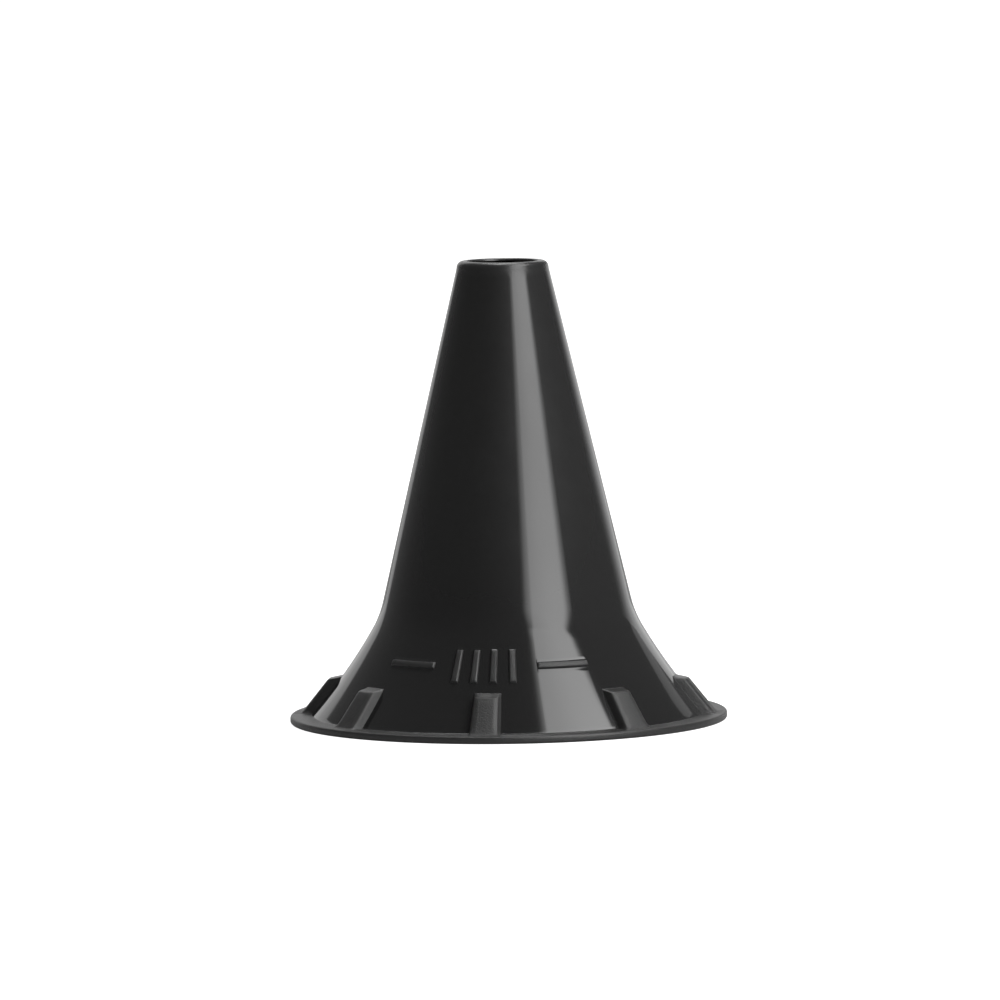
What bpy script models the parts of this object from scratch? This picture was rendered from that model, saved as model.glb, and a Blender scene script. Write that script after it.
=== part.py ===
"""Ear speculum for an otoscope: the slip-on funnel tip, moulded in one piece.

The funnel stands on its wide mouth with the narrow end up. Its axis is +Z and the origin is
the centre of the mouth's flat rim. Lengths are in metres, angles in degrees unless a name says
otherwise. Azimuths are measured about +Z from +X, so the front of the part is at -90.
"""

import math

import bmesh
import bpy

MM = 0.001

# Overall form
HEIGHT = 26.3 * MM
FLANGE_RADIUS = 12.5 * MM
FLANGE_THICKNESS = 0.42 * MM
FLANGE_ROUND = 0.13 * MM  # along both edges of the flange
LEDGE_WIDTH = 1.25 * MM  # flat ring of the flange outside the foot of the flare

# Narrow end, with a short straight-sided lip above the cone
BORE_RADIUS = 2.0 * MM
LIP_WALL = 0.63 * MM
LIP_DEPTH = 0.43 * MM
LIP_ROUND = 0.25 * MM

# Cone, quick bend and long flare
WALL = 0.55 * MM
CONE_HALF_ANGLE = 13.25
CONE_FOOT_HEIGHT = 6.9 * MM
BEND_RADIUS = 5.8 * MM
BEND_SHARE = 0.88  # part of the turn towards the mouth that the quick bend makes

# Finger ribs around the flare
RIB_COUNT = 8
FIRST_RIB_AZIMUTH = -97.5
RIB_HEIGHT = 0.52 * MM  # square to the flare
RIB_TOP = 2.45 * MM
RIB_CORNER = 0.18 * MM  # cut off the top of the crest
RIB_CREST_ARC = 6.0
RIB_ROOT_ARC = 9.0

# Raised size code: a row of upright bars between two level dashes
CODE_AZIMUTH = -98.9
CODE_GAP = 0.6 * MM  # between the top of the ribs and the code
CODE_HEIGHT = 1.7 * MM
CODE_RELIEF = 0.15 * MM
BAR_COUNT = 4
BAR_ARC = 2.2
BAR_PITCH = 7.0
DASH_THICKNESS = 0.3 * MM
DASH_ARC = 20.0
DASH_CENTRE_ARC = 30.0  # from the middle of the code to the middle of a dash

# Lugs inside the mouth, which lock behind the rim of the otoscope's head
LUG_COUNT = 2
LUG_ARC = 26.0
LUG_BASE = 1.1 * MM
LUG_THICKNESS = 0.8 * MM
LUG_REACH = 0.6 * MM

# Fineness of the solid
STEPS_AROUND = 96
LIP_STEPS = 4
BEND_STEPS = 5
FLARE_STEPS = 5
EDGE_STEPS = 3
PATCH_STEPS = 4
BURIED = 0.45 * WALL  # how far a raised feature's root lies inside the wall

PLASTIC_COLOUR = (0.016, 0.016, 0.017, 1.0)
PLASTIC_ROUGHNESS = 0.22


def clear_scene():
    """Remove every object, so that only the part is left."""
    for item in list(bpy.data.objects):
        bpy.data.objects.remove(item, do_unlink=True)


def arc_points(centre, radius, start, end, steps):
    """Points on an arc from angle start to angle end, in radians, both ends included."""
    points = []
    for index in range(steps + 1):
        angle = start + (end - start) * index / steps
        points.append((centre[0] + radius * math.cos(angle), centre[1] + radius * math.sin(angle)))
    return points


def outer_line():
    """Outer line from the lip to the flange, as (r, z, slope) from top to bottom.

    The slope is the angle between the line and the axis, in radians. The cone ends in a quick
    bend, and a long arc that is tangent to the bend ends on the flange's upper face.
    """
    slope = math.radians(CONE_HALF_ANGLE)
    lip_r = BORE_RADIUS + LIP_WALL
    lip_z = HEIGHT - LIP_DEPTH
    foot_r = lip_r + (lip_z - CONE_FOOT_HEIGHT) * math.tan(slope)
    end_r = FLANGE_RADIUS - LEDGE_WIDTH
    end_z = FLANGE_THICKNESS
    chord = math.atan2(end_r - foot_r, CONE_FOOT_HEIGHT - end_z)
    bend_slope = slope + BEND_SHARE * (chord - slope)

    line = [(lip_r, lip_z, slope)]
    for index in range(BEND_STEPS + 1):
        angle = slope + (bend_slope - slope) * index / BEND_STEPS
        r = foot_r + BEND_RADIUS * (math.cos(slope) - math.cos(angle))
        z = CONE_FOOT_HEIGHT - BEND_RADIUS * (math.sin(angle) - math.sin(slope))
        line.append((r, z, angle))

    start_r, start_z, _ = line[-1]
    turn = 2.0 * (math.atan2(end_r - start_r, start_z - end_z) - bend_slope)
    length = math.hypot(end_r - start_r, start_z - end_z)
    radius = length / (2.0 * math.sin(turn / 2.0))
    for index in range(1, FLARE_STEPS + 1):
        angle = bend_slope + turn * index / FLARE_STEPS
        r = start_r + radius * (math.cos(bend_slope) - math.cos(angle))
        z = start_z - radius * (math.sin(angle) - math.sin(bend_slope))
        line.append((r, z, angle))
    return line


def offset_line(line, distance):
    """Shift a line of (r, z, slope) square to itself; a positive distance moves it outwards."""
    shifted = []
    for r, z, slope in line:
        shifted.append((r + distance * math.cos(slope), z + distance * math.sin(slope), slope))
    return shifted


def radius_at(line, height):
    """Radius of a falling line of (r, z, slope) at a height, carried on straight past its ends."""
    upper, lower = line[0], line[1]
    for first, second in zip(line, line[1:]):
        upper, lower = first, second
        if height >= second[1]:
            break
    share = (height - upper[1]) / (lower[1] - upper[1])
    return upper[0] + share * (lower[0] - upper[0])


def shell_profile():
    """Closed half section of the funnel, down its outside and back up its inside."""
    lip = min(LIP_ROUND, 0.45 * LIP_WALL)
    lip_z = HEIGHT - lip
    outside = outer_line()
    inside = offset_line(outside, -WALL)
    edge = min(FLANGE_ROUND, 0.45 * FLANGE_THICKNESS)
    edge_r = FLANGE_RADIUS - edge

    outer_lip_r = BORE_RADIUS + LIP_WALL - lip
    outer_lip = arc_points((outer_lip_r, lip_z), lip, math.pi / 2.0, 0.0, LIP_STEPS)
    inner_lip = arc_points((BORE_RADIUS + lip, lip_z), lip, math.pi, math.pi / 2.0, LIP_STEPS)
    rim_top = arc_points((edge_r, FLANGE_THICKNESS - edge), edge, math.pi / 2.0, 0.0, EDGE_STEPS)
    rim_base = arc_points((edge_r, edge), edge, 0.0, -math.pi / 2.0, EDGE_STEPS)

    falling = [(r, z) for r, z, _ in outside]
    rising = [(r, z) for r, z, _ in reversed(inside[1:-1])]
    mouth = [(radius_at(inside, 0.0), 0.0)]
    return outer_lip + falling + rim_top + rim_base + mouth + rising + inner_lip


def make_object(name, vertices, faces):
    """Link a new mesh object whose faces are turned outwards."""
    mesh = bpy.data.meshes.new(name)
    mesh.from_pydata(vertices, [], faces)
    shape = bmesh.new()
    shape.from_mesh(mesh)
    bmesh.ops.recalc_face_normals(shape, faces=shape.faces)
    shape.to_mesh(mesh)
    shape.free()
    item = bpy.data.objects.new(name, mesh)
    bpy.context.collection.objects.link(item)
    return item


def make_shell():
    """Turn the half section once about the axis."""
    profile = shell_profile()
    vertices = [(r, 0.0, z) for r, z in profile]
    edges = [(index, (index + 1) % len(profile)) for index in range(len(profile))]
    mesh = bpy.data.meshes.new("ear_speculum")
    mesh.from_pydata(vertices, edges, [])
    shell = bpy.data.objects.new("ear_speculum", mesh)
    bpy.context.collection.objects.link(shell)
    turn = shell.modifiers.new("turned_section", "SCREW")
    turn.axis = "Z"
    turn.angle = 2.0 * math.pi
    turn.screw_offset = 0.0
    turn.steps = STEPS_AROUND
    turn.render_steps = STEPS_AROUND
    turn.use_merge_vertices = True
    turn.merge_threshold = 0.01 * MM
    turn.use_smooth_shade = True
    return shell


def make_wedge(name, centre, root_arc, crest_arc, root, crest):
    """Solid between a root line and a crest line of equal length, swept about the axis.

    The lines are lists of (r, z). The root is root_arc wide and the crest crest_arc wide.
    """
    columns = max(1, round(root_arc * STEPS_AROUND / 360.0))
    vertices = []
    for line, arc in ((root, root_arc), (crest, crest_arc)):
        for index in range(columns + 1):
            azimuth = math.radians(centre + arc * (index / columns - 0.5))
            for r, z in line:
                vertices.append((r * math.cos(azimuth), r * math.sin(azimuth), z))

    rows = len(root)
    layer = rows * (columns + 1)
    faces = []
    for column in range(columns):
        for row in range(rows - 1):
            corner = column * rows + row
            patch = (corner, corner + 1, corner + rows + 1, corner + rows)
            faces.append(patch)
            faces.append(tuple(layer + vertex for vertex in reversed(patch)))
        for row in (0, rows - 1):
            corner = column * rows + row
            faces.append((corner, corner + rows, layer + corner + rows, layer + corner))
    for column in (0, columns):
        for row in range(rows - 1):
            corner = column * rows + row
            faces.append((corner, corner + 1, layer + corner + 1, layer + corner))
    return make_object(name, vertices, faces)


def falling_heights(top, base):
    """Evenly spaced heights from top down to base."""
    return [top + (base - top) * step / PATCH_STEPS for step in range(PATCH_STEPS + 1)]


def make_tools():
    """Ribs, size code and lugs, each rooted inside the wall that it stands on."""
    outside = outer_line()
    middle = offset_line(outside, -BURIED)
    inside = offset_line(outside, -WALL)
    tools = []

    rib_line = offset_line(outside, RIB_HEIGHT)
    heights = falling_heights(RIB_TOP, FLANGE_THICKNESS / 2.0)
    root = [(radius_at(middle, height), height) for height in heights]
    crest = [(radius_at(rib_line, height), height) for height in heights]
    corner_r = radius_at(rib_line, RIB_TOP) - RIB_CORNER
    root.insert(1, (radius_at(middle, RIB_TOP - RIB_CORNER), RIB_TOP - RIB_CORNER))
    crest[0] = (corner_r, RIB_TOP)
    crest.insert(1, (radius_at(rib_line, RIB_TOP - RIB_CORNER), RIB_TOP - RIB_CORNER))
    for index in range(RIB_COUNT):
        centre = FIRST_RIB_AZIMUTH + 360.0 * index / RIB_COUNT
        tools.append(make_wedge(f"rib_{index + 1}", centre, RIB_ROOT_ARC, RIB_CREST_ARC, root, crest))

    code_line = offset_line(outside, CODE_RELIEF)
    code_base = RIB_TOP + CODE_GAP
    dash_base = code_base + (CODE_HEIGHT - DASH_THICKNESS) / 2.0
    marks = []
    for index in range(BAR_COUNT):
        shift = BAR_PITCH * (index - (BAR_COUNT - 1) / 2.0)
        marks.append((shift, BAR_ARC, code_base, code_base + CODE_HEIGHT))
    for side in (-1.0, 1.0):
        marks.append((side * DASH_CENTRE_ARC, DASH_ARC, dash_base, dash_base + DASH_THICKNESS))
    for index, (shift, arc, base, top) in enumerate(marks):
        heights = falling_heights(top, base)
        root = [(radius_at(middle, height), height) for height in heights]
        crest = [(radius_at(code_line, height), height) for height in heights]
        tools.append(make_wedge(f"code_{index + 1}", CODE_AZIMUTH + shift, arc, arc, root, crest))

    lug_top = LUG_BASE + LUG_THICKNESS
    lug_root = [(radius_at(middle, height), height) for height in (lug_top, LUG_BASE)]
    lug_r = radius_at(inside, lug_top) - LUG_REACH
    lug_crest = [(lug_r, lug_top), (lug_r, LUG_BASE)]
    for index in range(LUG_COUNT):
        centre = 360.0 * index / LUG_COUNT
        tools.append(make_wedge(f"lug_{index + 1}", centre, LUG_ARC, LUG_ARC, lug_root, lug_crest))
    return tools


def join_to(body, tools):
    """Unite the tools with the body, one Boolean each, and keep them out of the result."""
    for tool in tools:
        tool.hide_render = True
        tool.display_type = "WIRE"
        union = body.modifiers.new(tool.name, "BOOLEAN")
        union.operation = "UNION"
        union.solver = "EXACT"
        union.object = tool


def plastic():
    """Dense black polished plastic."""
    material = bpy.data.materials.new("black_plastic")
    material.use_nodes = True
    shader = material.node_tree.nodes["Principled BSDF"]
    shader.inputs["Base Color"].default_value = PLASTIC_COLOUR
    shader.inputs["Roughness"].default_value = PLASTIC_ROUGHNESS
    shader.inputs["Metallic"].default_value = 0.0
    return material


def main():
    """Build the speculum."""
    clear_scene()
    shell = make_shell()
    shell.data.materials.append(plastic())
    join_to(shell, make_tools())


main()
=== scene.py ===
"""Ear speculum for an otoscope: a polished black moulding, shown in a small white studio.

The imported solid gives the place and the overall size. One fine skin stands for it: a turned thin
wall that carries finger ribs, a raised size code and the lugs inside its mouth. Lengths are in
metres and angles in radians unless a name says otherwise. The axis is +Z, the mouth rests on the
floor and the front is towards -Y.
"""

import logging
import math
from bisect import bisect_right
from dataclasses import dataclass, field, replace
from enum import Enum
from itertools import product

import bpy
from mathutils import Matrix, Vector

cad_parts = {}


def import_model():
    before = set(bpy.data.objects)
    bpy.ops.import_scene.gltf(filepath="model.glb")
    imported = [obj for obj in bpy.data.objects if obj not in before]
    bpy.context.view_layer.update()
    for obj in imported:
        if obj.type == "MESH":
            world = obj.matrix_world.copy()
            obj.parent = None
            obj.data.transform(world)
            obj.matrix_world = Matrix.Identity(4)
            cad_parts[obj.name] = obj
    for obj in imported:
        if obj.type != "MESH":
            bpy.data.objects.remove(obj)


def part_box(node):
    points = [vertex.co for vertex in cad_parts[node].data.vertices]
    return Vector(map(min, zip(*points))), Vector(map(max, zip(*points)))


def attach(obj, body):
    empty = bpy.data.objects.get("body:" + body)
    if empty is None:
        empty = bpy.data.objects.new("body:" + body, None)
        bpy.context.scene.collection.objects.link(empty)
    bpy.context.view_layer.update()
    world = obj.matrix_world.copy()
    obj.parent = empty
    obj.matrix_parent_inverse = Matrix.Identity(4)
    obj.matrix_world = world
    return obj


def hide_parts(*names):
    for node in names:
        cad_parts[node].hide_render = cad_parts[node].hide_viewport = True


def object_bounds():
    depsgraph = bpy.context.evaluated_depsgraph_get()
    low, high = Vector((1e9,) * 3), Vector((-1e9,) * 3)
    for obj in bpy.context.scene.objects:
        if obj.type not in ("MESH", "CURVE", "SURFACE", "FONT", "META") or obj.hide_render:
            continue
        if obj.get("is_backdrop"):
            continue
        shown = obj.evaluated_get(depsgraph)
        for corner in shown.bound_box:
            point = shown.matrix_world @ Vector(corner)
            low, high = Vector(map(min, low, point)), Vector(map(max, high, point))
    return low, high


LOG = logging.getLogger("ear_speculum")

MM = 0.001
NODE = "ear_speculum"
BODY = "root"

Point = tuple[float, float]
Socket = bpy.types.NodeSocket


class Relief(Enum):
    """The raised features that a row of the skin can belong to."""

    NONE = "none"
    RIB = "rib"
    LUG = "lug"


# ---- Sizes ----


@dataclass(frozen=True)
class WallSizes:
    """Sizes of the turned wall."""

    height: float
    flange_radius: float
    flange_thickness: float = 0.42 * MM
    ledge_width: float = 1.25 * MM
    ledge_fillet: float = 0.04 * MM
    edge_round: float = 0.13 * MM
    bore_radius: float = 2.0 * MM
    lip_wall: float = 0.63 * MM
    lip_depth: float = 0.43 * MM
    lip_round: float = 0.37 * MM
    lip_inner_round: float = 0.13 * MM
    lip_flank: float = math.radians(7.0)
    lip_blend: float = 1.4 * MM
    wall: float = 0.55 * MM
    mouth_round: float = 0.08 * MM
    cone_half_angle: float = math.radians(13.25)
    cone_foot_height: float = 6.9 * MM
    bend_radius: float = 5.8 * MM
    bend_share: float = 0.88

    @classmethod
    def from_frame(cls) -> "WallSizes":
        """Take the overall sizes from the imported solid."""
        low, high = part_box(NODE)
        return cls(height=high.z - low.z, flange_radius=(high.x - low.x) / 2.0)


@dataclass(frozen=True)
class RibSizes:
    """Sizes of the finger ribs around the flare."""

    count: int = 8
    first_azimuth: float = math.radians(-97.0)
    height: float = 0.53 * MM
    top: float = 2.54 * MM
    top_slope: float = math.radians(11.0)
    corner_round: float = 0.28 * MM
    foot_round: float = 0.28 * MM
    foot_end: float = 12.24 * MM
    crest_arc: float = math.radians(5.2)
    root_arc: float = math.radians(9.15)
    finish_margin: float = math.radians(0.02)
    rubbed_depth: float = 0.16 * MM
    rubbed_fade: float = 0.1 * MM


@dataclass(frozen=True)
class CodeSizes:
    """Sizes of the raised size code: upright bars between two level dashes."""

    azimuth: float = math.radians(-98.9)
    gap_above_ribs: float = 0.55 * MM
    height: float = 1.7 * MM
    relief: float = 0.14 * MM
    edge: float = 0.07 * MM
    bar_count: int = 4
    bar_arc: float = math.radians(2.2)
    bar_pitch: float = math.radians(7.0)
    dash_thickness: float = 0.3 * MM
    dash_arc: float = math.radians(20.0)
    dash_centre_arc: float = math.radians(30.0)


@dataclass(frozen=True)
class LugSizes:
    """Sizes of the lugs inside the mouth."""

    count: int = 2
    first_azimuth: float = 0.0
    base: float = 1.1 * MM
    thickness: float = 0.8 * MM
    reach: float = 0.6 * MM
    edge_round: float = 0.12 * MM
    arc: float = math.radians(26.0)
    root_arc: float = math.radians(27.6)


# ---- The half section ----


class OuterCurve:
    """The outer line of the wall from the lip to the flange, as a function of height."""

    def __init__(self, sizes: WallSizes) -> None:
        """Solve the two arcs that join the cone to the flange.

        Args:
            sizes: Sizes of the wall.
        """
        self.sizes = sizes
        slope = sizes.cone_half_angle
        lip_radius = sizes.bore_radius + sizes.lip_wall
        fall = sizes.height - sizes.lip_depth - sizes.cone_foot_height
        foot_radius = lip_radius + fall * math.tan(slope)
        end = (sizes.flange_radius - sizes.ledge_width, sizes.flange_thickness)
        chord = math.atan2(end[0] - foot_radius, sizes.cone_foot_height - end[1])
        bend_slope = slope + sizes.bend_share * (chord - slope)
        bend_end = (
            foot_radius + sizes.bend_radius * (math.cos(slope) - math.cos(bend_slope)),
            sizes.cone_foot_height - sizes.bend_radius * (math.sin(bend_slope) - math.sin(slope)),
        )
        run = math.hypot(end[0] - bend_end[0], bend_end[1] - end[1])
        turn = 2.0 * (math.atan2(end[0] - bend_end[0], bend_end[1] - end[1]) - bend_slope)
        self.foot_radius = foot_radius
        self.bend_slope = bend_slope
        self.bend_end = bend_end
        self.flare_radius = run / (2.0 * math.sin(turn / 2.0))

    def slope(self, height: float) -> float:
        """Angle between the line and the axis at a height."""
        sizes = self.sizes
        if height >= sizes.cone_foot_height:
            return sizes.cone_half_angle
        if height >= self.bend_end[1]:
            rise = (sizes.cone_foot_height - height) / sizes.bend_radius
            return math.asin(math.sin(sizes.cone_half_angle) + rise)
        rise = (self.bend_end[1] - height) / self.flare_radius
        return math.asin(math.sin(self.bend_slope) + rise)

    def radius(self, height: float) -> float:
        """Radius of the line at a height."""
        sizes = self.sizes
        slope = self.slope(height)
        if height >= sizes.cone_foot_height:
            return self.foot_radius - (height - sizes.cone_foot_height) * math.tan(slope)
        if height >= self.bend_end[1]:
            turned = math.cos(sizes.cone_half_angle) - math.cos(slope)
            return self.foot_radius + sizes.bend_radius * turned
        return self.bend_end[0] + self.flare_radius * (math.cos(self.bend_slope) - math.cos(slope))

    def point(self, height: float, offset: float = 0.0) -> Point:
        """Point on the line at a height, moved square to it.

        Args:
            height: Height on the outer line.
            offset: Distance outwards, or inwards if negative.

        Returns:
            The moved point's radius and height.
        """
        slope = self.slope(height)
        radius = self.radius(height) + offset * math.cos(slope)
        return radius, height + offset * math.sin(slope)


@dataclass(frozen=True)
class Row:
    """One ring of the skin, given by a point of the half section.

    Attributes:
        base: Radius and height where nothing is raised.
        raised: Radius and height on the crest of this row's feature.
        relief: The feature that the row belongs to.
        bars: How far the size code's bars are raised on this row, from 0 to 1.
        dashes: The same for its dashes.
        eroded: How far the row is spark-eroded instead of polished, from 0 to 1.
        burnished: How far the row's feature is rubbed smooth again, from 0 to 1.
    """

    base: Point
    raised: Point
    relief: Relief = Relief.NONE
    bars: float = 0.0
    dashes: float = 0.0
    eroded: float = 0.0
    burnished: float = 0.0


class Chain:
    """An open line through points, read by its share of the length."""

    def __init__(self, points: list[Point]) -> None:
        """Measure the chain.

        Args:
            points: The points, in order.
        """
        self.points = points
        lengths = [0.0]
        for first, second in zip(points, points[1:]):
            lengths.append(lengths[-1] + math.dist(first, second))
        self.shares = [length / lengths[-1] for length in lengths]

    def at(self, share: float) -> Point:
        """Point at a share of the length."""
        index = min(max(bisect_right(self.shares, share) - 1, 0), len(self.points) - 2)
        span = self.shares[index + 1] - self.shares[index]
        mix = min(max((share - self.shares[index]) / span, 0.0), 1.0)
        (r0, z0), (r1, z1) = self.points[index], self.points[index + 1]
        return r0 + mix * (r1 - r0), z0 + mix * (z1 - z0)


def arc(centre: Point, radius: float, start: float, end: float, steps: int) -> list[Point]:
    """Points on an arc, both ends included."""
    points = []
    for index in range(steps + 1):
        angle = start + (end - start) * index / steps
        points.append((centre[0] + radius * math.cos(angle), centre[1] + radius * math.sin(angle)))
    return points


def rounded(points: list[Point], radii: dict[int, float], steps: int) -> list[Point]:
    """Round some corners of an open line.

    Args:
        points: The line's corners, in order.
        radii: Radius of each corner to round, by its index.
        steps: Segments in each round.

    Returns:
        The line with each of those corners replaced by an arc.
    """
    result = []
    for index, corner in enumerate(points):
        radius = radii.get(index)
        if radius is None:
            result.append(corner)
            continue
        here = Vector(corner)
        back = (Vector(points[index - 1]) - here).normalized()
        ahead = (Vector(points[index + 1]) - here).normalized()
        half = back.angle(ahead) / 2.0
        centre = here + (back + ahead).normalized() * radius / math.sin(half)
        first = here + back * radius / math.tan(half) - centre
        last = here + ahead * radius / math.tan(half) - centre
        start = math.atan2(first.y, first.x)
        turn = math.remainder(math.atan2(last.y, last.x) - start, 2.0 * math.pi)
        result.extend(arc((centre.x, centre.y), radius, start, start + turn, steps))
    return result


def subdivided(start: Point, end: Point, steps: int) -> list[Point]:
    """Points along a straight line, the start left out and the end included."""
    points = []
    for index in range(1, steps + 1):
        mix = index / steps
        points.append((start[0] + mix * (end[0] - start[0]), start[1] + mix * (end[1] - start[1])))
    return points


def graded(marks: list[tuple[float, int]]) -> list[float]:
    """Numbers that run through the marks, with the given count of steps up to each mark."""
    numbers = [marks[0][0]]
    for (first, _), (second, steps) in zip(marks, marks[1:]):
        numbers.extend(first + (second - first) * step / steps for step in range(1, steps + 1))
    return numbers


def soft_box(value: float, low: float, high: float, edge: float) -> float:
    """1 between low and high and 0 outside, with a smooth slope of width edge at each limit."""
    distance = min(value - low, high - value) / edge + 0.5
    mix = min(max(distance, 0.0), 1.0)
    return mix * mix * (3.0 - 2.0 * mix)


@dataclass
class HalfSection:
    """The rows of the skin, from inside the tip over the lip, down the outside and back up."""

    wall: WallSizes
    ribs: RibSizes
    code: CodeSizes
    lugs: LugSizes
    lip_steps: int = 8
    lip_run: float = 0.6 * MM
    cone_lead: float = 0.4 * MM
    cone_steps: int = 20
    bend_lead: float = 0.5 * MM
    rib_gap: float = 0.01 * MM
    match_steps: int = 400
    edge_steps: int = 6
    mouth_lead: float = 0.25 * MM
    lug_gap: float = 0.05 * MM
    lip_finish: float = 0.36
    ledge_share: float = 0.735
    flange_finish: float = 0.80
    inner_finish: float = 1.0

    def __post_init__(self) -> None:
        """Work out the outer curve that every stretch follows."""
        self.curve = OuterCurve(self.wall)

    def plain(self, points: list[Point], eroded: float = 0.0) -> list[Row]:
        """Rows with nothing raised on them."""
        return [Row(point, point, eroded=eroded) for point in points]

    def lip(self) -> list[Row]:
        """Rows over the rounded lip, from the bore to the top of the cone."""
        wall = self.wall
        cone_top = (wall.bore_radius + wall.lip_wall, wall.height - wall.lip_depth)
        brow = (cone_top[0] - wall.lip_depth * math.tan(wall.lip_flank), wall.height)
        corners = [
            (wall.bore_radius, cone_top[1]),
            (wall.bore_radius, wall.height),
            brow,
            cone_top,
            self.curve.point(cone_top[1] - self.lip_run),
        ]
        radii = {1: wall.lip_inner_round, 2: wall.lip_round, 3: wall.lip_blend}
        return self.plain(rounded(corners, radii, self.lip_steps)[1:-1], self.lip_finish)

    def outside(self) -> list[Row]:
        """Rows down the cone, the bend and the upper flare with its size code."""
        wall, code = self.wall, self.code
        code_base = self.ribs.top + code.gap_above_ribs
        code_top = code_base + code.height
        middle = code_base + code.height / 2.0
        dash_base = middle - code.dash_thickness / 2.0
        dash_top = middle + code.dash_thickness / 2.0
        edge = code.edge / 2.0
        heights = graded([
            (wall.height - wall.lip_depth - self.cone_lead, 0),
            (wall.cone_foot_height + self.bend_lead, self.cone_steps),
            (self.curve.bend_end[1], 14),
            (code_top + edge, 2),
            (code_top - edge, 5),
            (dash_top + edge, 3),
            (dash_top - edge, 5),
            (dash_base + edge, 2),
            (dash_base - edge, 5),
            (code_base + edge, 3),
            (code_base - edge, 5),
            (self.ribs.top + self.rib_gap, 4),
        ])
        rows = []
        for height in heights:
            point = self.curve.point(height)
            bars = soft_box(height, code_base, code_top, code.edge)
            dashes = soft_box(height, dash_base, dash_top, code.edge)
            rows.append(Row(point, point, bars=bars, dashes=dashes))
        return rows

    def rib_zone(self) -> list[Row]:
        """Rows from the top of the ribs to the flange, each with its place on the ribs' crest."""
        wall, ribs = self.wall, self.ribs
        ledge = wall.flange_thickness
        start = self.curve.point(ribs.top)
        flare_end = self.curve.point(ledge)
        end = (ribs.foot_end, ledge)
        near_ledge = ledge + wall.ledge_fillet
        flare = [self.curve.point(height) for height in graded([(ribs.top, 0), (near_ledge, 14)])]
        base = Chain(rounded(flare + [flare_end, end], {len(flare): wall.ledge_fillet}, 5))

        chord = math.atan2(flare_end[0] - start[0], start[1] - flare_end[1])
        shift = (ribs.height * math.cos(chord), ribs.height * math.sin(chord))
        level = start[0] + shift[0] + shift[1] * math.tan(chord)
        crest_foot = level + (ribs.top - ledge) * math.tan(chord)
        fall, steep = math.tan(ribs.top_slope), 1.0 / math.tan(chord)
        crest_top = (level * steep - start[0] * fall) / (steep - fall)
        crest_height = ribs.top - (crest_top - start[0]) * fall
        corners = [start, (crest_top, crest_height), (crest_foot, ledge), end]
        face = rounded(corners, {1: ribs.corner_round, 2: ribs.foot_round}, 7)
        crest = Chain(face[:1] + subdivided(face[0], face[1], 4) + face[2:])
        return self.paired(base, crest, [(0.34, 0.07), (0.93, 0.93)], Relief.RIB, 0.012)

    def paired(self, base: Chain, raised: Chain, knots: list[Point], relief: Relief,
               closest: float) -> list[Row]:
        """Match a raised line to the base line that it stands on.

        Args:
            base: The line with nothing raised.
            raised: The line along the crest, with the same two ends.
            knots: Shares of the raised line, each with the share of the base that it matches.
            relief: The feature that the rows belong to.
            closest: Smallest step between rows, as a share of the raised line.

        Returns:
            The rows, from the first end to the last.
        """
        forward = Chain([(0.0, 0.0), *knots, (1.0, 1.0)])
        steps = self.match_steps
        table = [forward.at(index / steps) for index in range(steps + 1)]
        raised_marks, base_marks = zip(*table)
        shares = set(raised.shares)
        for share in base.shares:
            index = min(bisect_right(base_marks, share), len(table) - 1)
            shares.add(raised_marks[index])
        kept = [0.0]
        for share in sorted(shares):
            if share - kept[-1] >= closest and 1.0 - share >= closest:
                kept.append(share)
        kept.append(1.0)
        rows = []
        for share in kept:
            index = min(bisect_right(raised_marks, share), len(table) - 1)
            low, high = table[index - 1], table[index]
            mix = min(max((share - low[0]) / max(high[0] - low[0], 1e-9), 0.0), 1.0)
            match = low[1] + mix * (high[1] - low[1])
            row = Row(base.at(match), raised.at(share), relief, eroded=self.inner_finish)
            if relief is Relief.RIB:
                finish = self.flange_finish * soft_box(match, self.ledge_share, 2.0, 0.01)
                rub_foot = self.ribs.top - self.ribs.rubbed_depth
                rubbed = soft_box(row.raised[1], rub_foot, 1.0, self.ribs.rubbed_fade)
                row = replace(row, eroded=finish, burnished=rubbed)
            rows.append(row)
        return rows

    def flange(self) -> list[Row]:
        """Rows round the edge of the flange and along its underside to the mouth."""
        wall = self.wall
        above = self.curve.point(wall.flange_thickness + self.mouth_lead, -wall.wall)
        corners = [
            (self.ribs.foot_end, wall.flange_thickness),
            (wall.flange_radius, wall.flange_thickness),
            (wall.flange_radius, 0.0),
            self.inner_mouth(),
            above,
        ]
        radii = {1: wall.edge_round, 2: wall.edge_round, 3: wall.mouth_round}
        line = rounded(corners, radii, self.edge_steps)[1:-1]
        underside = 2 * (self.edge_steps + 1)
        across = subdivided(line[underside - 1], line[underside], 3)
        return self.plain(line[:underside] + across + line[underside + 1:], self.flange_finish)

    def inner_mouth(self) -> Point:
        """Where the inner line, carried on straight, meets the underside."""
        wall = self.wall
        low = self.curve.point(wall.flange_thickness, -wall.wall)
        slope = self.curve.slope(wall.flange_thickness)
        return low[0] + low[1] * math.tan(slope), 0.0

    def inner_line(self, marks: list[tuple[float, int]]) -> list[Point]:
        """Points on the inner wall, graded through marks given as heights on the outer one."""
        return [self.curve.point(height, -self.wall.wall) for height in graded(marks)]

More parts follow.
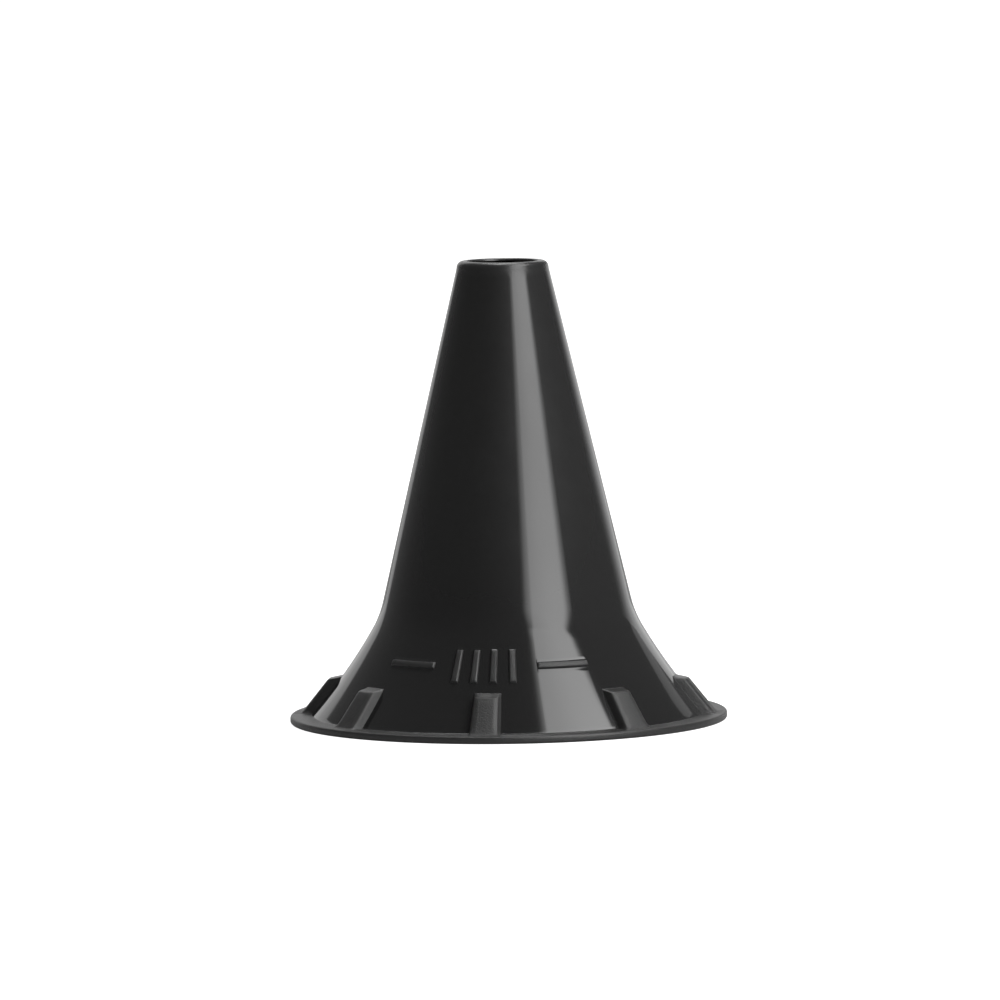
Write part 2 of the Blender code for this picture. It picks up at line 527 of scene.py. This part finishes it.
    def inside(self) -> list[Row]:
        """Rows up the inner wall, with the lugs, to the bore."""
        wall, lugs = self.wall, self.lugs
        lug_top = lugs.base + lugs.thickness
        lift = wall.wall * math.sin(self.curve.slope(lugs.base))
        low, high = lugs.base + lift, lug_top + lift
        mouth_top = wall.flange_thickness + self.mouth_lead
        below = self.inner_line([(mouth_top, 0), (low - self.lug_gap, 4)])
        base = Chain(self.inner_line([(low, 0), (high, 8)]))
        start, end = base.points[0], base.points[-1]
        face_radius = end[0] - lugs.reach
        corners = [start, (face_radius, start[1]), (face_radius, end[1]), end]
        face = rounded(corners, {1: lugs.edge_round, 2: lugs.edge_round}, 4)
        crest = Chain(face[:1] + subdivided(face[0], face[1], 3) + face[2:-1]
                      + subdivided(face[-2], face[-1], 3))
        raised = self.paired(base, crest, [(0.46, 0.12), (0.72, 0.88)], Relief.LUG, 0.02)
        bend = self.inner_line([
            (high + self.lug_gap, 0),
            (self.curve.bend_end[1], 8),
            (wall.cone_foot_height, 10),
        ])
        bore_top = (wall.bore_radius, wall.height - wall.lip_round)
        cone = subdivided(bend[-1], bore_top, 14)
        finish = self.inner_finish
        return self.plain(below, finish) + raised + self.plain(bend + cone, finish)

    def rows(self) -> list[Row]:
        """The whole closed section; its last row lies on its first."""
        return self.lip() + self.outside() + self.rib_zone() + self.flange() + self.inside()


# ---- The skin, made with Geometry Nodes ----


class Writer:
    """Adds nodes to a tree and links them."""

    def __init__(self, tree: bpy.types.NodeTree) -> None:
        """Keep the tree.

        Args:
            tree: The tree to write in.
        """
        self.tree = tree

    def node(self, kind: str, inputs: dict | None = None, **settings: object) -> bpy.types.Node:
        """Add one node.

        Args:
            kind: The node's type.
            inputs: Values or sockets, by input name or index.
            **settings: Properties of the node itself.

        Returns:
            The new node.
        """
        node = self.tree.nodes.new(kind)
        for name, value in settings.items():
            setattr(node, name, value)
        for key, value in (inputs or {}).items():
            if isinstance(value, Socket):
                self.tree.links.new(value, node.inputs[key])
            else:
                node.inputs[key].default_value = value
        return node

    def math(self, operation: str, *values: object) -> Socket:
        """Add a Math node and return its result."""
        return self.node("ShaderNodeMath", dict(enumerate(values)), operation=operation).outputs[0]

    def plus(self, first: object, second: object) -> Socket:
        """Add two numbers."""
        return self.math("ADD", first, second)

    def minus(self, first: object, second: object) -> Socket:
        """Take the second number from the first."""
        return self.math("SUBTRACT", first, second)

    def times(self, first: object, second: object) -> Socket:
        """Multiply two numbers."""
        return self.math("MULTIPLY", first, second)

    def smooth(self, value: object, low: object, high: object, start: float = 0.0,
               end: float = 1.0) -> Socket:
        """Go smoothly from start to end as the value goes from low to high."""
        inputs = {"Value": value, "From Min": low, "From Max": high, "To Min": start, "To Max": end}
        return self.node("ShaderNodeMapRange", inputs, interpolation_type="SMOOTHSTEP").outputs[0]

    def parts(self, vector: object) -> bpy.types.bpy_prop_collection:
        """X, Y and Z of a vector."""
        return self.node("ShaderNodeSeparateXYZ", {0: vector}).outputs

    def mixed(self, factor: object, first: object, second: object) -> Socket:
        """Blend two numbers: first at factor 0, second at factor 1."""
        return self.node("ShaderNodeMix", {0: factor, 2: first, 3: second}).outputs[0]


def placed(name: str, mesh: bpy.types.Mesh) -> bpy.types.Object:
    """Put a mesh in the scene as an object at the origin."""
    thing = bpy.data.objects.new(name, mesh)
    bpy.context.scene.collection.objects.link(thing)
    return thing


def blank_material(name: str) -> tuple[bpy.types.Material, Writer]:
    """Make a material without nodes, and its writer."""
    material = bpy.data.materials.new(name)
    material.use_nodes = True
    material.node_tree.nodes.clear()
    return material, Writer(material.node_tree)


class SkinTree:
    """The node tree that turns the rows into the ribbed and marked skin."""

    SOCKETS = {
        int: "NodeSocketInt", float: "NodeSocketFloat", bpy.types.Object: "NodeSocketObject",
        bpy.types.Material: "NodeSocketMaterial",
    }
    SHARES = ("rib", "lug", "bars", "dashes", "eroded", "burnished")
    MARK_FINISH = (0.003, 0.04)
    EDGE_START = (0.62, 0.9)
    EDGE_END = (0.93, 1.0)
    SEAM_GAP = 1e-7
    SIDE_SLOPE = 2.2
    BEVEL_SLOPE = 0.28
    SHOULDER_BLEND = 0.3
    CREST_BLEND = 0.12

    def __init__(self, values: dict[str, object]) -> None:
        """Create the tree with an input for each value and write its nodes.

        Args:
            values: The values, by the names of the inputs.
        """
        self.tree = bpy.data.node_groups.new("ribbed_skin", "GeometryNodeTree")
        face = self.tree.interface
        face.new_socket("Geometry", in_out="OUTPUT", socket_type="NodeSocketGeometry")
        self.identifiers = {}
        for name, value in values.items():
            kind = self.SOCKETS[type(value)]
            socket = face.new_socket(name, in_out="INPUT", socket_type=kind)
            self.identifiers[name] = socket.identifier
        self.write = Writer(self.tree)
        self.given = self.write.node("NodeGroupInput").outputs
        self.compose()

    def sample(self, source: str, name: str, index: object, kind: str = "FLOAT") -> Socket:
        """Read an attribute of a helper mesh at an index."""
        info = self.write.node("GeometryNodeObjectInfo", {"Object": self.given[source]})
        named = self.write.node("GeometryNodeInputNamedAttribute", {"Name": name}, data_type=kind)
        inputs = {"Geometry": info.outputs["Geometry"], "Value": named.outputs[0], "Index": index}
        return self.write.node("GeometryNodeSampleIndex", inputs, data_type=kind).outputs[0]

    def ramp(self, distance: object, outer: object, inner: object) -> Socket:
        """0 beyond the outer distance and 1 within the inner one: a steep side and a bevel."""
        write = self.write
        share = write.math("DIVIDE", write.minus(outer, distance), write.minus(outer, inner))
        side = write.times(share, self.SIDE_SLOPE)
        bevel = write.plus(write.times(share, self.BEVEL_SLOPE), 1.0 - self.BEVEL_SLOPE)
        raised = write.math("SMOOTH_MIN", side, bevel, self.SHOULDER_BLEND)
        raised = write.math("SMOOTH_MIN", raised, 1.0, self.CREST_BLEND)
        return write.math("MAXIMUM", raised, 0.0)

    def repeated(self, azimuth: object, first: object, count: object) -> Socket:
        """Angle to the nearest of several evenly spaced azimuths."""
        write = self.write
        pitch = write.math("DIVIDE", 2.0 * math.pi, count)
        half = write.times(pitch, 0.5)
        shifted = write.plus(write.minus(azimuth, first), half)
        turned = write.math("FLOORED_MODULO", shifted, pitch)
        return write.math("ABSOLUTE", write.minus(turned, half))

    def code_raise(self, azimuth: object) -> tuple[Socket, Socket]:
        """How far the bars and the dashes are raised at an azimuth, each from 0 to 1."""
        given, write = self.given, self.write
        turned = write.plus(write.minus(azimuth, given["Code azimuth"]), math.pi)
        offset = write.minus(write.math("FLOORED_MODULO", turned, 2.0 * math.pi), math.pi)
        last = write.minus(given["Bar count"], 1.0)
        place = write.plus(write.math("DIVIDE", offset, given["Bar pitch"]), write.times(last, 0.5))
        nearest = write.math("MAXIMUM", write.math("ROUND", place), 0.0)
        nearest = write.math("MINIMUM", nearest, last)
        to_bar = write.times(write.minus(place, nearest), given["Bar pitch"])
        to_dash = write.minus(write.math("ABSOLUTE", offset), given["Dash centre arc"])
        edge = write.times(given["Mark edge arc"], 0.5)
        found = []
        for distance, name in ((to_bar, "Bar arc"), (to_dash, "Dash arc")):
            half = write.times(given[name], 0.5)
            distance = write.math("ABSOLUTE", distance)
            found.append(self.ramp(distance, write.plus(half, edge), write.minus(half, edge)))
        return found[0], found[1]

    def raise_of(self, name: str, azimuth: object) -> Socket:
        """How far the ribs or the lugs are raised at an azimuth, from 0 to 1."""
        given, title = self.given, name.capitalize()
        distance = self.repeated(azimuth, given[f"First {name} azimuth"], given[f"{title} count"])
        halves = [self.write.times(given[f"{title} {part} arc"], 0.5) for part in ("root", "crest")]
        return self.ramp(distance, halves[0], halves[1])

    def rib_finish(self, azimuth: object) -> Socket:
        """1 on the ribs and a hair's breadth beside them, else 0."""
        distance = self.repeated(azimuth, self.given["First rib azimuth"], self.given["Rib count"])
        reach = self.write.times(self.given["Rib finish arc"], 0.5)
        return self.write.math("LESS_THAN", distance, reach)

    def compose(self) -> None:
        """Write the whole tree."""
        given, write = self.given, self.write
        last_column = write.minus(given["Columns"], 1.0)
        last_row = write.minus(given["Rows"], 1.0)
        grid = write.node("GeometryNodeMeshGrid", {
            "Size X": last_column, "Size Y": last_row,
            "Vertices X": given["Columns"], "Vertices Y": given["Rows"],
        })
        place = write.parts(write.node("GeometryNodeInputPosition").outputs[0])
        column = write.math("ROUND", write.plus(place["X"], write.times(last_column, 0.5)))
        row = write.math("ROUND", write.plus(place["Y"], write.times(last_row, 0.5)))

        azimuth = self.sample("Rim", "azimuth", column)
        base = self.sample("Section", "base", row, "FLOAT_VECTOR")
        crest = self.sample("Section", "raised", row, "FLOAT_VECTOR")
        square = self.sample("Section", "square", row, "FLOAT_VECTOR")
        shares = {name: self.sample("Section", name, row) for name in self.SHARES}
        on_rib = write.times(shares["rib"], self.raise_of("rib", azimuth))
        on_lug = write.times(shares["lug"], self.raise_of("lug", azimuth))
        bars, dashes = self.code_raise(azimuth)
        bars, dashes = write.times(shares["bars"], bars), write.times(shares["dashes"], dashes)
        marks = write.math("MAXIMUM", bars, dashes)

        weights = {"Factor": write.plus(on_rib, on_lug), 4: base, 5: crest}
        section = write.node("ShaderNodeMix", weights, data_type="VECTOR").outputs[1]
        lift = {0: square, "Scale": write.times(marks, given["Code relief"])}
        lifted = write.node("ShaderNodeVectorMath", lift, operation="SCALE").outputs[0]
        lifting = {0: section, 1: lifted}
        section = write.node("ShaderNodeVectorMath", lifting, operation="ADD").outputs[0]
        parts = write.parts(section)
        spot = write.node("ShaderNodeCombineXYZ", {
            "X": write.times(parts["X"], write.math("COSINE", azimuth)),
            "Y": write.times(parts["X"], write.math("SINE", azimuth)),
            "Z": parts["Z"],
        }).outputs[0]

        ribbed = write.times(shares["rib"], self.rib_finish(azimuth))
        raised = write.math("MAXIMUM", ribbed, write.smooth(marks, *self.MARK_FINISH))
        finish = write.math("MAXIMUM", shares["eroded"], raised)
        cap = write.times(shares["burnished"], on_rib)
        edge = write.math("MAXIMUM", cap, self.edge_of(marks))
        mesh = grid.outputs["Mesh"]
        for name, value in (("eroded", finish), ("burnished", edge)):
            stored = {0: mesh, "Name": name, "Value": value}
            mesh = write.node("GeometryNodeStoreNamedAttribute", stored).outputs[0]
        for kind, inputs in (
            ("GeometryNodeSetPosition", {"Position": spot}),
            ("GeometryNodeFlipFaces", {}),
            ("GeometryNodeMergeByDistance", {"Distance": self.SEAM_GAP}),
            ("GeometryNodeSetShadeSmooth", {}),
            ("GeometryNodeRealizeInstances", {}),
            ("GeometryNodeSetMaterial", {"Material": given["Finish"]}),
        ):
            mesh = write.node(kind, {0: mesh, **inputs}).outputs[0]
        write.node("NodeGroupOutput", {0: mesh})

    def edge_of(self, weight: object) -> Socket:
        """1 along the upper edges of a raised feature and 0 elsewhere."""
        rising = self.write.smooth(weight, *self.EDGE_START)
        return self.write.times(rising, self.write.smooth(weight, *self.EDGE_END, 1.0, 0.0))


@dataclass
class SpeculumSkin:
    """The moulding's whole surface, as one closed skin."""

    wall: WallSizes
    ribs: RibSizes = field(default_factory=RibSizes)
    code: CodeSizes = field(default_factory=CodeSizes)
    lugs: LugSizes = field(default_factory=LugSizes)
    plain_step: float = math.radians(2.4)
    mark_edge_arc: float = math.radians(0.55)
    rib_side: tuple[float, ...] = (
        -0.01, 0.0, 0.01, 0.1, 0.2, 0.28, 0.34, 0.4, 0.47, 0.56, 0.7, 0.85, 0.98, 1.1, 1.25,
    )
    small_side: tuple[float, ...] = (-0.03, 0.0, 0.03, 0.15, 0.25, 0.6, 1.0, 1.2)
    smallest_step: float = math.radians(0.012)

    def columns(self) -> list[float]:
        """Azimuths of the columns, close together where a feature's side rises."""
        ribs, code, lugs = self.ribs, self.code, self.lugs
        full, edge = 2.0 * math.pi, self.mark_edge_arc
        first_bar = code.azimuth - code.bar_pitch * (code.bar_count - 1) / 2.0
        first_dash = code.azimuth - code.dash_centre_arc
        rib, small = self.rib_side, self.small_side
        bar, dash = code.bar_arc, code.dash_arc
        features = (
            (ribs.first_azimuth, full / ribs.count, ribs.count, ribs.root_arc, ribs.crest_arc, rib),
            (first_bar, code.bar_pitch, code.bar_count, bar + edge, bar - edge, small),
            (first_dash, 2.0 * code.dash_centre_arc, 2, dash + edge, dash - edge, small),
            (lugs.first_azimuth, full / lugs.count, lugs.count, lugs.root_arc, lugs.arc, small),
        )
        marks: set[float] = set()
        for first, pitch, count, root, crest, shares in features:
            for index, share in product(range(count), shares):
                centre, reach = first + pitch * index, (root + (crest - root) * share) / 2.0
                marks.update((centre - reach, centre + reach))

        seam = math.pi / 2.0 + math.pi / ribs.count
        ordered = sorted((mark - seam) % full for mark in marks)
        result = [0.0]
        for mark in ordered + [full]:
            last = result[-1]
            gap = mark - last
            if gap < self.smallest_step and mark < full:
                continue
            steps = max(1, math.ceil(gap / self.plain_step))
            result.extend([last + gap * step / steps for step in range(1, steps + 1)])
        return [seam + angle for angle in result]

    def helper(self, name: str, floats: dict[str, list[float]],
               vectors: dict[str, list[tuple[float, float, float]]]) -> bpy.types.Object:
        """Mesh of loose points that carries tables for the node tree.

        Args:
            name: Name of the helper object.
            floats: Number attributes, by name.
            vectors: Vector attributes, by name.

        Returns:
            The helper object, which is removed once the skin is made.
        """
        count = len(next(iter((floats or vectors).values())))
        mesh = bpy.data.meshes.new(name)
        mesh.from_pydata([(0.0, 0.0, 0.0)] * count, [], [])
        for key, values in floats.items():
            mesh.attributes.new(key, "FLOAT", "POINT").data.foreach_set("value", values)
        for key, values in vectors.items():
            flat = [number for vector in values for number in vector]
            mesh.attributes.new(key, "FLOAT_VECTOR", "POINT").data.foreach_set("vector", flat)
        return placed(name, mesh)

    def section_helper(self, rows: list[Row]) -> bpy.types.Object:
        """Helper mesh with one point for each row."""
        squares = []
        for index in range(len(rows)):
            before = rows[max(index - 1, 0)].base
            after = rows[min(index + 1, len(rows) - 1)].base
            along = Vector((after[0] - before[0], after[1] - before[1])).normalized()
            squares.append((-along.y, 0.0, along.x))
        floats = {name: [getattr(row, name) for row in rows]
                  for name in ("bars", "dashes", "eroded", "burnished")}
        for kind in (Relief.RIB, Relief.LUG):
            floats[kind.value] = [float(row.relief is kind) for row in rows]
        vectors = {
            "base": [(row.base[0], 0.0, row.base[1]) for row in rows],
            "raised": [(row.raised[0], 0.0, row.raised[1]) for row in rows],
            "square": squares,
        }
        return self.helper("section_rows", floats, vectors)

    def build(self, finish: bpy.types.Material) -> bpy.types.Object:
        """Make the skin as a plain mesh.

        Args:
            finish: The plastic's material.

        Returns:
            The finished object, at the origin.
        """
        ribs, code, lugs = self.ribs, self.code, self.lugs
        rows = HalfSection(self.wall, ribs, code, lugs).rows()
        columns = self.columns()
        section = self.section_helper(rows)
        rim = self.helper("rim_columns", {"azimuth": columns}, {})
        values = {
            "Section": section, "Rim": rim, "Rows": len(rows), "Columns": len(columns),
            "Rib count": ribs.count, "First rib azimuth": ribs.first_azimuth,
            "Rib crest arc": ribs.crest_arc, "Rib root arc": ribs.root_arc,
            "Rib finish arc": ribs.root_arc + ribs.finish_margin,
            "Code azimuth": code.azimuth, "Code relief": code.relief,
            "Bar count": code.bar_count, "Bar arc": code.bar_arc,
            "Bar pitch": code.bar_pitch, "Dash arc": code.dash_arc,
            "Dash centre arc": code.dash_centre_arc, "Mark edge arc": self.mark_edge_arc,
            "Lug count": lugs.count, "First lug azimuth": lugs.first_azimuth,
            "Lug crest arc": lugs.arc, "Lug root arc": lugs.root_arc, "Finish": finish,
        }
        tree = SkinTree(values)
        carrier = placed("skin_carrier", bpy.data.meshes.new("skin_carrier"))
        modifier = carrier.modifiers.new("ribbed_skin", "NODES")
        modifier.node_group = tree.tree
        for name, value in values.items():
            modifier[tree.identifiers[name]] = value
        depsgraph = bpy.context.evaluated_depsgraph_get()
        mesh = bpy.data.meshes.new_from_object(carrier.evaluated_get(depsgraph))
        mesh.name = "speculum_skin"
        for spent in (carrier, section, rim):
            bpy.data.objects.remove(spent, do_unlink=True)
        skin = placed("speculum_skin", mesh)
        LOG.info("skin: %d rows, %d columns, %d faces", len(rows), len(columns), len(mesh.polygons))
        return skin


# ---- Finish ----


@dataclass(frozen=True)
class MouldedPlastic:
    """Dense black plastic from a mould that is polished in places and spark-eroded in others."""

    polished_colour: tuple[float, float, float, float] = (0.0115, 0.0115, 0.0115, 1.0)
    eroded_colour: tuple[float, float, float, float] = (0.018, 0.018, 0.018, 1.0)
    polished_roughness: float = 0.085
    eroded_roughness: float = 0.48
    burnished_roughness: float = 0.30
    ior: float = 1.5
    haze: float = 0.02
    haze_size: float = 2.5 * MM
    speckle: float = 0.12
    grain_size: float = 0.085 * MM
    grain_depth: float = 0.026 * MM
    ripple_size: float = 1.8 * MM
    ripple_depth: float = 0.0005 * MM
    rubbed: float = 0.22
    rubbed_from: float = 4.0 * MM
    rubbed_to: float = 16.0 * MM
    rubbed_roughness: float = 0.5
    draw_lines: float = 190.0
    draw_breaks: float = 0.35 / MM
    draw_depth: float = 0.00008 * MM

    def material(self) -> bpy.types.Material:
        """Build the material."""
        material, write = blank_material("polished_black_plastic")
        place = write.node("ShaderNodeTexCoord").outputs["Object"]
        eroded = write.node("ShaderNodeAttribute", attribute_name="eroded").outputs["Fac"]
        burnish = write.node("ShaderNodeAttribute", attribute_name="burnished").outputs["Fac"]

        haze = self.noise(write, place, self.haze_size, 3.0)
        swing = write.times(write.minus(haze, 0.5), 2.0 * self.haze)
        polished = write.plus(swing, self.polished_roughness)
        grain = self.noise(write, place, self.grain_size, 2.0)
        worn = write.mixed(burnish, self.eroded_roughness, self.burnished_roughness)
        speckle = write.times(write.minus(grain, 0.5), self.speckle)
        roughness = write.mixed(eroded, polished, write.plus(worn, speckle))
        colour = write.node("ShaderNodeMix", {
            0: eroded, 6: self.polished_colour, 7: self.eroded_colour,
        }, data_type="RGBA").outputs[2]

        ripple = self.noise(write, place, self.ripple_size, 1.0)
        lines = self.draw_marks(write, place)
        kept = write.minus(1.0, write.times(burnish, 0.5))
        height = write.times(write.times(grain, write.times(eroded, kept)), self.grain_depth)
        height = write.plus(height, write.times(ripple, self.ripple_depth))
        fine = write.times(write.times(lines, write.minus(1.0, eroded)), self.draw_depth)
        height = write.plus(height, fine)
        bump = write.node("ShaderNodeBump", {"Height": height, "Distance": 1.0}).outputs["Normal"]

        layers = []
        for value in (roughness, self.rubbed_roughness):
            inputs = {"Base Color": colour, "Roughness": value, "IOR": self.ior, "Normal": bump}
            layers.append(write.node("ShaderNodeBsdfPrincipled", inputs).outputs["BSDF"])
        above = write.parts(place)["Z"]
        rubbed = write.smooth(above, self.rubbed_from, self.rubbed_to, 0.0, self.rubbed)
        rubbed = write.times(rubbed, write.plus(haze, 0.5))
        layering = {0: rubbed, 1: layers[0], 2: layers[1]}
        surface = write.node("ShaderNodeMixShader", layering).outputs[0]
        write.node("ShaderNodeOutputMaterial", {"Surface": surface})
        return material

    def noise(self, write: Writer, place: object, size: float, detail: float) -> Socket:
        """Noise with lumps of a given size."""
        inputs = {"Vector": place, "Scale": 1.0 / size, "Detail": detail, "Roughness": 0.55}
        return write.node("ShaderNodeTexNoise", inputs).outputs["Fac"]

    def draw_marks(self, write: Writer, place: object) -> Socket:
        """Faint lines along the funnel, left by polishing the mould in the draw direction."""
        parts = write.parts(place)
        around = write.math("ARCTAN2", parts["Y"], parts["X"])
        spread = write.node("ShaderNodeCombineXYZ", {
            "X": write.times(around, self.draw_lines / (2.0 * math.pi)),
            "Y": write.times(parts["Z"], self.draw_breaks),
        }).outputs[0]
        inputs = {"Vector": spread, "Scale": 1.0, "Detail": 3.0, "Roughness": 0.6}
        return write.node("ShaderNodeTexNoise", inputs).outputs["Fac"]


# ---- Studio ----


@dataclass(frozen=True)
class LightPanel:
    """A flat soft light around the object, given by the directions of its four corners.

    Attributes:
        name: Name of the panel.
        corners: Azimuth and elevation in degrees of the corners: first side bottom, second side
            bottom, second side top, first side top. Azimuth 0 is behind the camera and 90 is to
            the right.
        distance: Distance from the object's middle to the panel's plane.
        radiance: Brightness.
        first_feather: Share of the width over which the first side fades in, at the bottom and top.
        second_feather: The same for the second side.
        dim_side: How much dimmer the panel is near its first side.
        dim_span: Shares of the width between which that dimming ends.
    """

    name: str
    corners: tuple[Point, Point, Point, Point]
    distance: float
    radiance: float
    first_feather: Point = (0.02, 0.02)
    second_feather: Point = (0.02, 0.02)
    dim_side: float = 0.0
    dim_span: Point = (0.15, 0.7)

    def direction(self, corner: Point) -> Vector:
        """Unit vector towards a corner."""
        azimuth, elevation = (math.radians(value) for value in corner)
        flat = math.cos(elevation)
        return Vector((math.sin(azimuth) * flat, -math.cos(azimuth) * flat, math.sin(elevation)))

    def build(self, centre: Vector) -> bpy.types.Object:
        """Make the panel as a glowing plane that the camera doesn't see.

        Args:
            centre: The point that the corner directions start from.

        Returns:
            The panel.
        """
        rays = [self.direction(corner) for corner in self.corners]
        facing = sum(rays, Vector()).normalized()
        points = [centre + ray * (self.distance / ray.dot(facing)) for ray in rays]
        mesh = bpy.data.meshes.new(self.name)
        mesh.from_pydata(points, [], [(0, 1, 2, 3)])
        across = mesh.uv_layers.new(name="across")
        for loop, place in zip(across.data, ((0, 0), (1, 0), (1, 1), (0, 1))):
            loop.uv = place
        mesh.materials.append(self.glow())
        panel = placed(self.name, mesh)
        panel.visible_camera = False
        panel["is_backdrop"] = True
        return panel

    def glow(self) -> bpy.types.Material:
        """Emission that fades in from both sides and hides nothing behind it."""
        material, write = blank_material(self.name)
        place = write.node("ShaderNodeUVMap", uv_map="across").outputs[0]
        parts = write.parts(place)
        across, up = parts["X"], parts["Y"]
        strength = write.times(self.fade(write, across, up, self.first_feather), self.radiance)
        other = self.fade(write, write.minus(1.0, across), up, self.second_feather)
        gain = write.smooth(across, *self.dim_span, 1.0 - self.dim_side)
        strength = write.times(write.times(strength, other), gain)
        glow = write.node("ShaderNodeEmission", {"Strength": strength})
        clear = write.node("ShaderNodeBsdfTransparent").outputs[0]
        surface = write.node("ShaderNodeAddShader", {0: glow.outputs[0], 1: clear}).outputs[0]
        write.node("ShaderNodeOutputMaterial", {"Surface": surface})
        return material

    def fade(self, write: Writer, inwards: object, up: object, feather: Point) -> Socket:
        """0 on one side and 1 past its feather, whose width changes from bottom to top."""
        return write.smooth(inwards, 0.0, write.mixed(up, feather[0], feather[1]))


@dataclass(frozen=True)
class Viewpoint:
    """A long lens that looks a little down at the funnel."""

    elevation: float = math.radians(5.0)
    distance: float = 0.5
    frame_width: float = 57.1 * MM
    aim: tuple[float, float, float] = (-0.33 * MM, 0.0, 12.6 * MM)
    roll: float = math.radians(0.8)
    sensor: float = 36.0
    clip: Point = (0.05, 20.0)

    def build(self) -> bpy.types.Object:
        """Make the camera and set it as the scene's."""
        data = bpy.data.cameras.new("studio_camera")
        data.sensor_width = self.sensor
        data.lens = self.sensor * self.distance / self.frame_width
        data.clip_start, data.clip_end = self.clip
        camera = bpy.data.objects.new("studio_camera", data)
        bpy.context.scene.collection.objects.link(camera)
        back = Vector((0.0, -math.cos(self.elevation), math.sin(self.elevation)))
        facing = (-back).to_track_quat("-Z", "Y").to_matrix().to_4x4()
        place = Matrix.Translation(Vector(self.aim) + back * self.distance)
        camera.matrix_world = place @ facing @ Matrix.Rotation(-self.roll, 4, "Z")
        bpy.context.scene.camera = camera
        return camera


@dataclass
class Studio:
    """White floor, soft panels and the camera."""

    floor_radius: float = 6.0
    floor_sides: int = 64
    floor_gap: float = 0.02 * MM
    floor_colour: tuple[float, float, float, float] = (0.45, 0.45, 0.45, 1.0)
    surround: float = 0.12
    side_glow: float = 0.24
    side_azimuth: float = math.radians(65.0)
    far_glow: float = 0.13
    far_azimuth: float = math.radians(-130.0)
    panels: tuple[LightPanel, ...] = (
        LightPanel("key_softbox", ((9.0, 3.0), (63.0, 3.0), (63.6, 36.5), (18.6, 37.2)), 0.30,
                   5.7, (0.42, 0.25), (0.20, 0.14), 0.2),
        LightPanel("key_top", ((18.6, 37.2), (63.6, 36.5), (113.0, 54.4), (119.7, 80.8)), 0.30,
                   5.7, (0.22, 0.08), (0.14, 0.06), 0.15),
        LightPanel("overhead", ((-85.0, 82.0), (120.0, 81.5), (157.0, 50.0), (-157.0, 50.0)),
                   0.30, 5.4),
        LightPanel("left_flat", ((165.0, -6.0), (-147.0, -6.0), (-147.0, 38.0), (165.0, 38.0)),
                   0.40, 0.65),
        LightPanel("right_flat", ((126.0, -6.0), (165.0, -6.0), (165.0, 10.5), (126.0, 10.5)),
                   0.40, 0.95, (0.7, 0.7)),
        LightPanel("right_gap", ((139.0, 10.5), (149.0, 10.5), (149.0, 22.0), (139.0, 22.0)),
                   0.40, 0.35),
    )
    view: Viewpoint = field(default_factory=Viewpoint)

    def floor(self) -> bpy.types.Object:
        """Make the floor: a wide pale disc a hair's breadth under the mouth."""
        corners = []
        for index in range(self.floor_sides):
            angle = 2.0 * math.pi * index / self.floor_sides
            across, along = self.floor_radius * math.cos(angle), self.floor_radius * math.sin(angle)
            corners.append((across, along, -self.floor_gap))
        mesh = bpy.data.meshes.new("studio_floor")
        mesh.from_pydata(corners, [], [tuple(range(self.floor_sides))])
        mesh.materials.append(self.floor_finish())
        floor = placed("studio_floor", mesh)
        floor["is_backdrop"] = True
        return floor

    def floor_finish(self) -> bpy.types.Material:
        """White that the camera sees bright and the object sees grey."""
        material, write = blank_material("studio_floor")
        seen = write.node("ShaderNodeLightPath").outputs["Is Camera Ray"]
        matt = write.node("ShaderNodeBsdfDiffuse", {"Color": self.floor_colour}).outputs[0]
        glow = write.node("ShaderNodeEmission", {"Strength": 1.0}).outputs[0]
        bright = write.node("ShaderNodeAddShader", {0: matt, 1: glow}).outputs[0]
        surface = write.node("ShaderNodeMixShader", {0: seen, 1: matt, 2: bright}).outputs[0]
        write.node("ShaderNodeOutputMaterial", {"Surface": surface})
        return material

    def world(self) -> None:
        """Dim grey surround, brighter around the key light, and white for the camera."""
        world = bpy.data.worlds.new("studio_world")
        bpy.context.scene.world = world
        world.use_nodes = True
        world.node_tree.nodes.clear()
        write = Writer(world.node_tree)
        near = write.times(self.towards(write, self.side_azimuth, 2.0), self.side_glow)
        far = write.times(self.towards(write, self.far_azimuth, 1.0), self.far_glow)
        dim = write.plus(write.plus(near, far), self.surround)
        seen = write.node("ShaderNodeLightPath").outputs["Is Camera Ray"]
        strength = write.mixed(seen, dim, 1.0)
        background = write.node("ShaderNodeBackground", {"Strength": strength}).outputs[0]
        write.node("ShaderNodeOutputWorld", {"Surface": background})

    def towards(self, write: Writer, azimuth: float, power: float) -> Socket:
        """1 in a level direction, falling off to 0 square to it."""
        place = write.node("ShaderNodeTexCoord").outputs["Generated"]
        way = (math.sin(azimuth), -math.cos(azimuth), 0.0)
        dot = write.node("ShaderNodeVectorMath", {0: place, 1: way}, operation="DOT_PRODUCT")
        return write.math("POWER", write.math("MAXIMUM", dot.outputs["Value"], 0.0), power)

    def build(self, middle: Vector) -> None:
        """Set up the studio.

        Args:
            middle: Centre of the object, which the panels face.
        """
        self.floor()
        for panel in self.panels:
            panel.build(middle)
            LOG.info("light panel: %s", panel.name)
        self.world()
        self.view.build()
        bpy.context.scene.view_settings.view_transform = "Standard"


# ---- Assembly ----


def main() -> None:
    """Load the frame, build the skin, and set the studio's light panels around the middle of the
    frame's box.
    """
    logging.basicConfig(level=logging.INFO, format="%(name)s: %(message)s")
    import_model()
    cad_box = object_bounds()

    wall = WallSizes.from_frame()
    skin = SpeculumSkin(wall).build(MouldedPlastic().material())
    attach(skin, BODY)
    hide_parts(NODE)
    LOG.info("piece: %s on body %s", skin.name, BODY)

    low, high = cad_box
    Studio().build((low + high) / 2.0)


if __name__ == "__main__":
    main()
